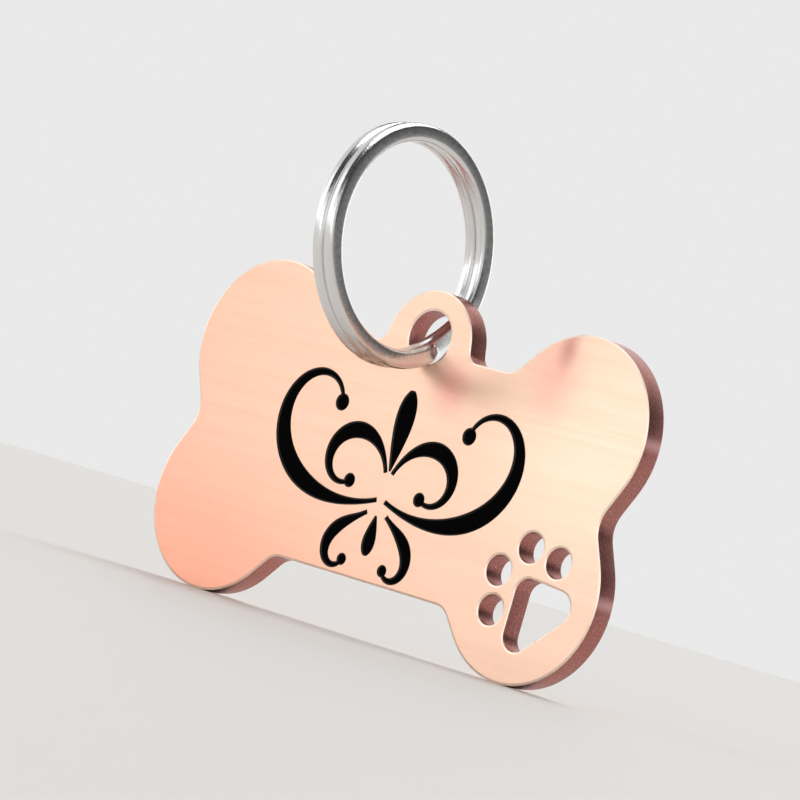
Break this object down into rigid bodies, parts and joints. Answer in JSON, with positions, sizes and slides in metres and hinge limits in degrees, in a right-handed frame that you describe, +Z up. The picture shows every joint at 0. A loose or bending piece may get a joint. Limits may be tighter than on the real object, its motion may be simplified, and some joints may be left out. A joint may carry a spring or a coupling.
{
  "type": "pet id tag",
  "caption": "Bone-shaped metal pet tag with an eyelet, a paw cut-out and an enamelled scroll engraving, swinging on a split ring for a collar.",
  "frame": {"origin": "centre of the split ring, where the collar's loop passes", "axes": "+X across the plate to the end with the paw, +Y through the plate from its engraved face to its back, +Z up along the upright plate"},
  "size_m": [0.05, 0.02, 0.0416],
  "materials": {
    "plate": "rose gold coated, brushed",
    "ring": "polished",
    "enamel": "gloss black"
  },
  "bodies": {
    "ring": {"split_ring": "ring"},
    "tag": {"tag_plate": "plate", "enamel_scroll_left": "enamel", "enamel_scroll_right": "enamel", "enamel_curl_left": "enamel", "enamel_curl_right": "enamel", "enamel_sprig_left": "enamel", "enamel_sprig_right": "enamel", "enamel_drop_upper": "enamel", "enamel_drop_lower": "enamel"}
  },
  "joints": [
    {"name": "tag_swing", "type": "hinge", "parent": "ring", "child": "tag", "pos_m": [0.00079, 0.00618, -0.0064], "axis": [0, 1, 0], "range_deg": [-80, 66]}
  ]
}
